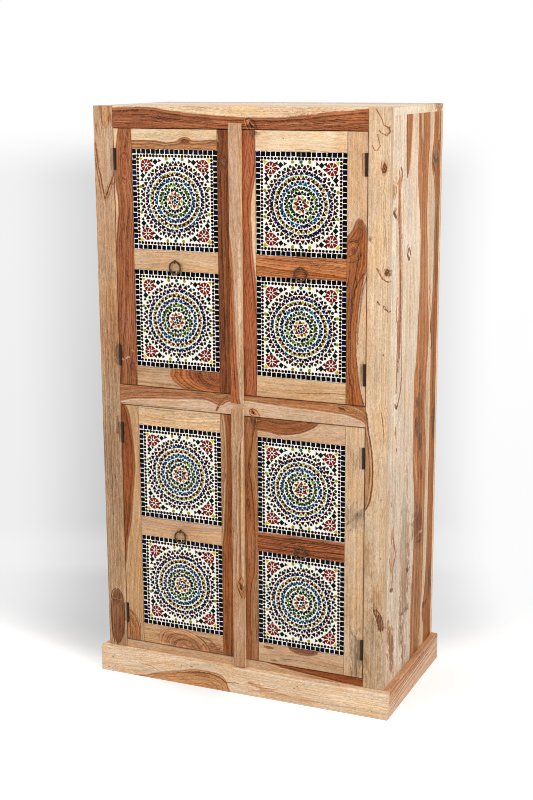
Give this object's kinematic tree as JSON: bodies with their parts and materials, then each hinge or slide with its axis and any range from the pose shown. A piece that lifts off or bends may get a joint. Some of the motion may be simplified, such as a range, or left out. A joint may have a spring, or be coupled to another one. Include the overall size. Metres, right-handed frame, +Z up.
{
  "type": "mosaic cabinet",
  "caption": "Tall two-tier hardwood cabinet with framed double doors over double doors, ring pulls, a plinth, and mosaic slabs set in every door.",
  "frame": {"origin": "on the floor under the middle of the outline of the plinth and case", "axes": "+Z up, the doors face -Y, +X to the right seen from the front"},
  "size_m": [0.95, 0.5, 1.75],
  "materials": {
    "pale_hardwood": "satin, cream to tan with brown figure",
    "red_hardwood": "satin, red-brown with dark veins",
    "inner_hardwood": "satin, plain",
    "mosaic": "glossy coloured chips in white grout",
    "hinge_iron": "dark, worn",
    "pull_brass": "darkened, worn"
  },
  "bodies": {
    "case": {"left_front_post": "pale_hardwood", "right_front_post": "pale_hardwood", "front_top_rail": "red_hardwood", "front_middle_rail": "pale_hardwood", "front_bottom_rail": "pale_hardwood", "left_side_panel": "pale_hardwood", "right_side_panel": "pale_hardwood", "back_panel": "inner_hardwood", "top_panel": "pale_hardwood", "bottom_panel": "inner_hardwood", "middle_deck": "inner_hardwood", "upper_shelf": "inner_hardwood", "lower_shelf": "inner_hardwood", "shelf_cleats": "inner_hardwood", "door_stops": "inner_hardwood", "plinth_front": "pale_hardwood", "plinth_left": "pale_hardwood", "plinth_right": "red_hardwood", "plinth_nails": "hinge_iron", "frame_hinge_leaves": "hinge_iron", "hinge_pins": "hinge_iron", "frame_hinge_screws": "hinge_iron"},
    "lower_left_door": {"lower_left_door_hinge_stile": "pale_hardwood", "lower_left_door_meeting_stile": "pale_hardwood", "lower_left_door_top_rail": "pale_hardwood", "lower_left_door_middle_rail": "pale_hardwood", "lower_left_door_bottom_rail": "pale_hardwood", "lower_left_door_mosaics": "mosaic", "lower_left_door_hinge_leaves": "hinge_iron", "lower_left_door_pull_eye": "pull_brass", "lower_cover_strip": "pale_hardwood"},
    "lower_left_ring": {"lower_left_door_pull_ring": "pull_brass"},
    "lower_right_door": {"lower_right_door_hinge_stile": "pale_hardwood", "lower_right_door_meeting_stile": "red_hardwood", "lower_right_door_top_rail": "pale_hardwood", "lower_right_door_middle_rail": "red_hardwood", "lower_right_door_bottom_rail": "pale_hardwood", "lower_right_door_mosaics": "mosaic", "lower_right_door_hinge_leaves": "hinge_iron", "lower_right_door_pull_eye": "pull_brass"},
    "lower_right_ring": {"lower_right_door_pull_ring": "pull_brass"},
    "upper_left_door": {"upper_left_door_hinge_stile": "red_hardwood", "upper_left_door_meeting_stile": "red_hardwood", "upper_left_door_top_rail": "pale_hardwood", "upper_left_door_middle_rail": "pale_hardwood", "upper_left_door_bottom_rail": "pale_hardwood", "upper_left_door_mosaics": "mosaic", "upper_left_door_hinge_leaves": "hinge_iron", "upper_left_door_pull_eye": "pull_brass", "upper_cover_strip": "pale_hardwood"},
    "upper_left_ring": {"upper_left_door_pull_ring": "pull_brass"},
    "upper_right_door": {"upper_right_door_hinge_stile": "red_hardwood", "upper_right_door_meeting_stile": "red_hardwood", "upper_right_door_top_rail": "pale_hardwood", "upper_right_door_middle_rail": "red_hardwood", "upper_right_door_bottom_rail": "pale_hardwood", "upper_right_door_mosaics": "mosaic", "upper_right_door_hinge_leaves": "hinge_iron", "upper_right_door_pull_eye": "pull_brass"},
    "upper_right_ring": {"upper_right_door_pull_ring": "pull_brass"}
  },
  "joints": [
    {"name": "lower_left_door_hinge", "type": "hinge", "parent": "case", "child": "lower_left_door", "pos_m": [-0.3875, -0.231, 0.488], "axis": [0, 0, -1], "range_deg": [0, 170]},
    {"name": "lower_left_ring_swing", "type": "hinge", "parent": "lower_left_door", "child": "lower_left_ring", "pos_m": [-0.1955, -0.236, 0.488], "axis": [-1, 0, 0], "range_deg": [-4, 150]},
    {"name": "lower_right_door_hinge", "type": "hinge", "parent": "case", "child": "lower_right_door", "pos_m": [0.3875, -0.231, 0.488], "axis": [0, 0, 1], "range_deg": [0, 170]},
    {"name": "lower_right_ring_swing", "type": "hinge", "parent": "lower_right_door", "child": "lower_right_ring", "pos_m": [0.1955, -0.236, 0.488], "axis": [-1, 0, 0], "range_deg": [-4, 150]},
    {"name": "upper_left_door_hinge", "type": "hinge", "parent": "case", "child": "upper_left_door", "pos_m": [-0.3875, -0.231, 1.308], "axis": [0, 0, -1], "range_deg": [0, 170]},
    {"name": "upper_left_ring_swing", "type": "hinge", "parent": "upper_left_door", "child": "upper_left_ring", "pos_m": [-0.1955, -0.236, 1.308], "axis": [-1, 0, 0], "range_deg": [-4, 150]},
    {"name": "upper_right_door_hinge", "type": "hinge", "parent": "case", "child": "upper_right_door", "pos_m": [0.3875, -0.231, 1.308], "axis": [0, 0, 1], "range_deg": [0, 170]},
    {"name": "upper_right_ring_swing", "type": "hinge", "parent": "upper_right_door", "child": "upper_right_ring", "pos_m": [0.1955, -0.236, 1.308], "axis": [-1, 0, 0], "range_deg": [-4, 150]}
  ],
  "couplings": [
    {"joint": "lower_right_door_hinge", "follows": "lower_left_door_hinge", "ratio": 1},
    {"joint": "upper_right_door_hinge", "follows": "upper_left_door_hinge", "ratio": 1}
  ]
}
